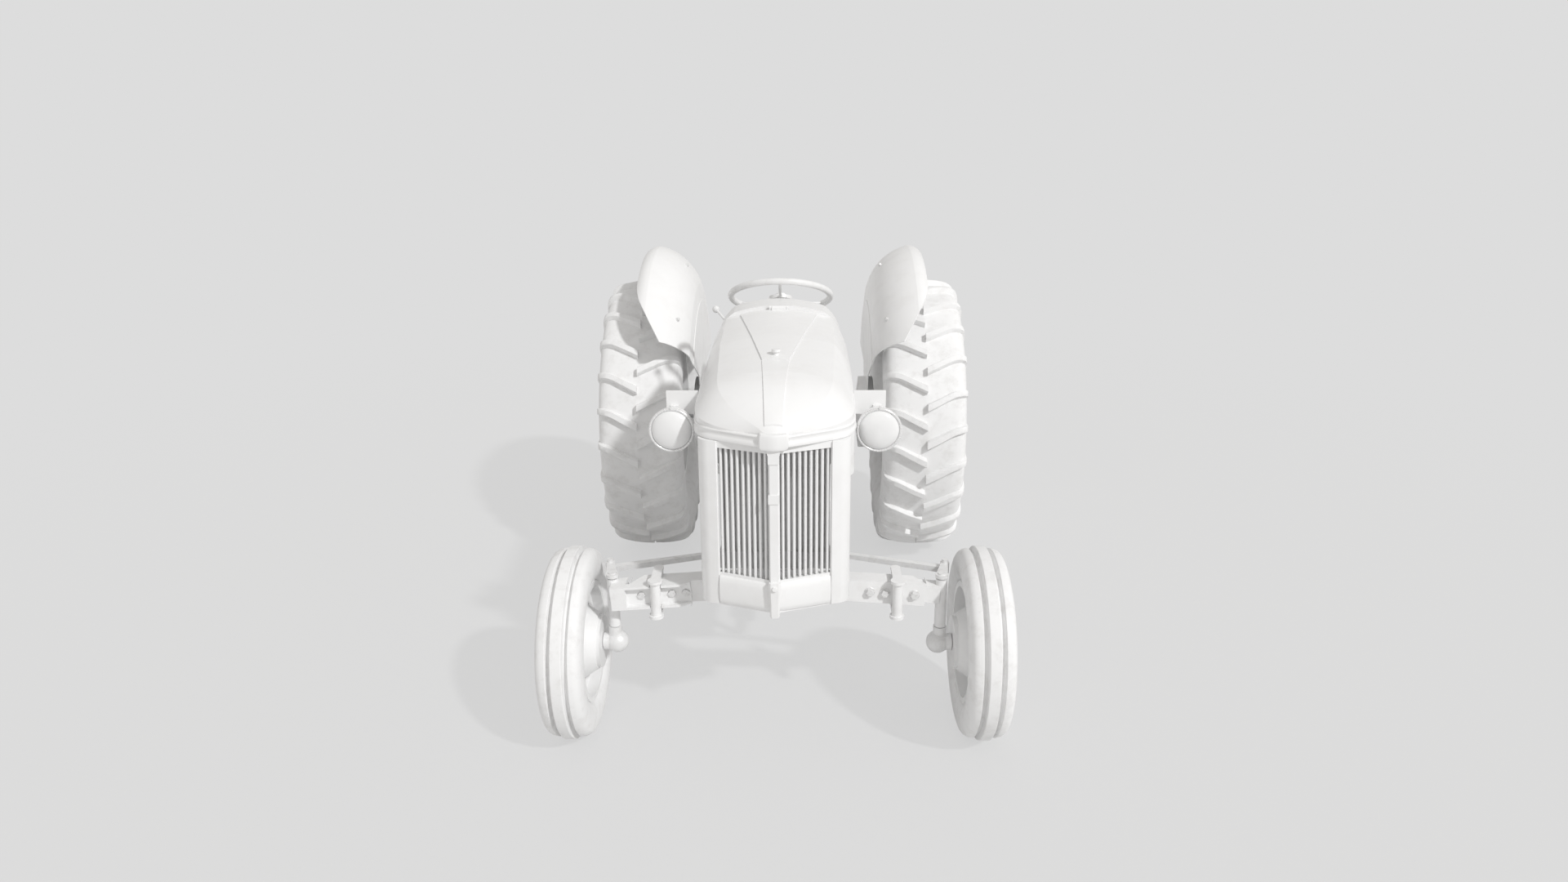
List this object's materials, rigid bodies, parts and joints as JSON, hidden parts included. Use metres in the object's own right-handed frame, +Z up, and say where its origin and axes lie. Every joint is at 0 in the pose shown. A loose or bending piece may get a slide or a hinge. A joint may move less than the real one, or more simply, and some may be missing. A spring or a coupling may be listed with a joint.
{
  "type": "vintage tractor",
  "caption": "Small vintage utility tractor with an open engine, lugged rear tyres, round fenders, a pressed grille shell, linked front steering and a rear lift linkage.",
  "frame": {"origin": "on the ground, under the middle of the overall length and width", "axes": "+Z up, -Y towards the front, +X towards the tractor's left side"},
  "size_m": [1.672, 2.9199, 1.4872],
  "materials": {
    "body_paint": "satin",
    "chassis_paint": "satin",
    "bar_paint": "satin",
    "radiator_paint": "matte",
    "exhaust_iron": "matte",
    "control_paint": "satin",
    "seat_paint": "satin",
    "wheel_rim_rubber": "matte",
    "link_steel": "satin",
    "tyre_rubber": "matte",
    "rim_paint": "satin",
    "lens_glass": "clear"
  },
  "bodies": {
    "chassis": {"engine_block": "chassis_paint", "manifold_exhaust": "exhaust_iron", "generator_starter": "chassis_paint", "front_support": "chassis_paint", "radiator": "radiator_paint", "fan": "chassis_paint", "transmission_case": "chassis_paint", "rear_housing": "chassis_paint", "lift_cover": "chassis_paint", "axle_housings": "chassis_paint", "axle_center": "chassis_paint", "axle_arms": "chassis_paint", "axle_clamps": "chassis_paint", "steering_column": "chassis_paint", "hood": "body_paint", "dash_cowl": "body_paint", "fuel_tank": "chassis_paint", "grille_shell": "body_paint", "grille_bars": "bar_paint", "headlamps": "body_paint", "lamp_lenses": "lens_glass", "fenders": "body_paint", "seat": "seat_paint", "controls": "control_paint", "air_cleaner": "chassis_paint"},
    "knuckle_left": {"knuckle_left": "link_steel"},
    "knuckle_right": {"knuckle_right": "link_steel"},
    "relay": {"steering_relay": "link_steel"},
    "track_rod_left": {"track_rod_left": "link_steel"},
    "track_rod_right": {"track_rod_right": "link_steel"},
    "pitman": {"pitman_arm": "link_steel"},
    "drag_link": {"drag_link": "link_steel"},
    "steering_wheel": {"steering_wheel": "wheel_rim_rubber"},
    "front_wheel_left": {"front_tyre_left": "tyre_rubber", "front_rim_left": "rim_paint"},
    "front_wheel_right": {"front_tyre_right": "tyre_rubber", "front_rim_right": "rim_paint"},
    "rear_wheel_left": {"rear_tyre_left": "tyre_rubber", "rear_rim_left": "rim_paint"},
    "rear_wheel_right": {"rear_tyre_right": "tyre_rubber", "rear_rim_right": "rim_paint"},
    "hood_door": {"hood_door": "body_paint"},
    "lift_arms": {"lift_arms": "link_steel"},
    "lift_rod_left": {"lift_rod_left": "link_steel"},
    "lift_rod_right": {"lift_rod_right": "link_steel"},
    "lower_link_left": {"lower_link_left": "link_steel"},
    "lower_link_right": {"lower_link_right": "link_steel"}
  },
  "joints": [
    {"name": "steer_left", "type": "hinge", "parent": "chassis", "child": "knuckle_left", "pos_m": [0.573, -1.122, 0.49], "axis": [0, 0, 1], "range_deg": [-35, 35]},
    {"name": "steer_right", "type": "hinge", "parent": "chassis", "child": "knuckle_right", "pos_m": [-0.573, -1.122, 0.49], "axis": [0, 0, 1], "range_deg": [-35.1, 35.1]},
    {"name": "relay_turn", "type": "hinge", "parent": "chassis", "child": "relay", "pos_m": [0, -1.027, 0.6], "axis": [0, 0, 1], "range_deg": [-35.1, 35.1]},
    {"name": "track_rod_left_pivot", "type": "hinge", "parent": "knuckle_left", "child": "track_rod_left", "pos_m": [0.595, -1.024, 0.5735], "axis": [0, 0, 1], "range_deg": [-35.1, 35.1]},
    {"name": "track_rod_right_pivot", "type": "hinge", "parent": "knuckle_right", "child": "track_rod_right", "pos_m": [-0.595, -1.024, 0.5735], "axis": [0, 0, 1], "range_deg": [-35.1, 35.1]},
    {"name": "pitman_turn", "type": "hinge", "parent": "chassis", "child": "pitman", "pos_m": [-0.19, -0.272, 0.908], "axis": [1, 0, 0], "range_deg": [-20, 20]},
    {"name": "drag_link_pivot", "type": "hinge", "parent": "pitman", "child": "drag_link", "pos_m": [-0.19, -0.272, 0.65], "axis": [1, 0, 0], "range_deg": [-20, 20]},
    {"name": "steering_wheel_turn", "type": "hinge", "parent": "chassis", "child": "steering_wheel", "pos_m": [0, -0.082, 1.38], "axis": [0, 0.4539, 0.8911], "range_deg": [-421, 421]},
    {"name": "front_wheel_left_spin", "type": "hinge", "parent": "knuckle_left", "child": "front_wheel_left", "pos_m": [0.715, -1.122, 0.338], "axis": [1, 0, 0], "continuous": true},
    {"name": "front_wheel_right_spin", "type": "hinge", "parent": "knuckle_right", "child": "front_wheel_right", "pos_m": [-0.715, -1.122, 0.338], "axis": [1, 0, 0], "continuous": true},
    {"name": "rear_wheel_left_spin", "type": "hinge", "parent": "chassis", "child": "rear_wheel_left", "pos_m": [0.647, 0.656, 0.66], "axis": [1, 0, 0], "continuous": true},
    {"name": "rear_wheel_right_spin", "type": "hinge", "parent": "chassis", "child": "rear_wheel_right", "pos_m": [-0.647, 0.656, 0.66], "axis": [1, 0, 0], "continuous": true},
    {"name": "hood_door_hinge", "type": "hinge", "parent": "chassis", "child": "hood_door", "pos_m": [0, -0.413, 1.397], "axis": [-1, 0, 0], "range_deg": [0, 75]},
    {"name": "lift", "type": "hinge", "parent": "chassis", "child": "lift_arms", "pos_m": [0, 0.753, 0.925], "axis": [1, 0, 0], "range_deg": [-6, 30]},
    {"name": "lift_rod_left_pivot", "type": "hinge", "parent": "lift_arms", "child": "lift_rod_left", "pos_m": [0.2, 0.9798, 0.90117], "axis": [1, 0, 0], "range_deg": [-30.5, 6.5]},
    {"name": "lift_rod_right_pivot", "type": "hinge", "parent": "lift_arms", "child": "lift_rod_right", "pos_m": [-0.2, 0.9798, 0.90117], "axis": [1, 0, 0], "range_deg": [-30.5, 6.5]},
    {"name": "lower_link_left_pivot", "type": "hinge", "parent": "chassis", "child": "lower_link_left", "pos_m": [0.317, 0.578, 0.44], "axis": [1, 0, 0], "range_deg": [-4, 17.5]},
    {"name": "lower_link_right_pivot", "type": "hinge", "parent": "chassis", "child": "lower_link_right", "pos_m": [-0.317, 0.578, 0.44], "axis": [1, 0, 0], "range_deg": [-4, 17.5]}
  ],
  "couplings": [
    {"joint": "steer_right", "follows": "steer_left", "ratio": 1},
    {"joint": "relay_turn", "follows": "steer_left", "ratio": 1},
    {"joint": "track_rod_left_pivot", "follows": "steer_left", "ratio": -1},
    {"joint": "track_rod_right_pivot", "follows": "steer_left", "ratio": -1},
    {"joint": "pitman_turn", "follows": "steer_left", "ratio": -0.48},
    {"joint": "drag_link_pivot", "follows": "steer_left", "ratio": 0.48},
    {"joint": "steering_wheel_turn", "follows": "steer_left", "ratio": 12},
    {"joint": "lift_rod_left_pivot", "follows": "lift", "ratio": -1.0075},
    {"joint": "lift_rod_right_pivot", "follows": "lift", "ratio": -1.0075},
    {"joint": "lower_link_left_pivot", "follows": "lift", "ratio": 0.5675},
    {"joint": "lower_link_right_pivot", "follows": "lift", "ratio": 0.5675}
  ]
}
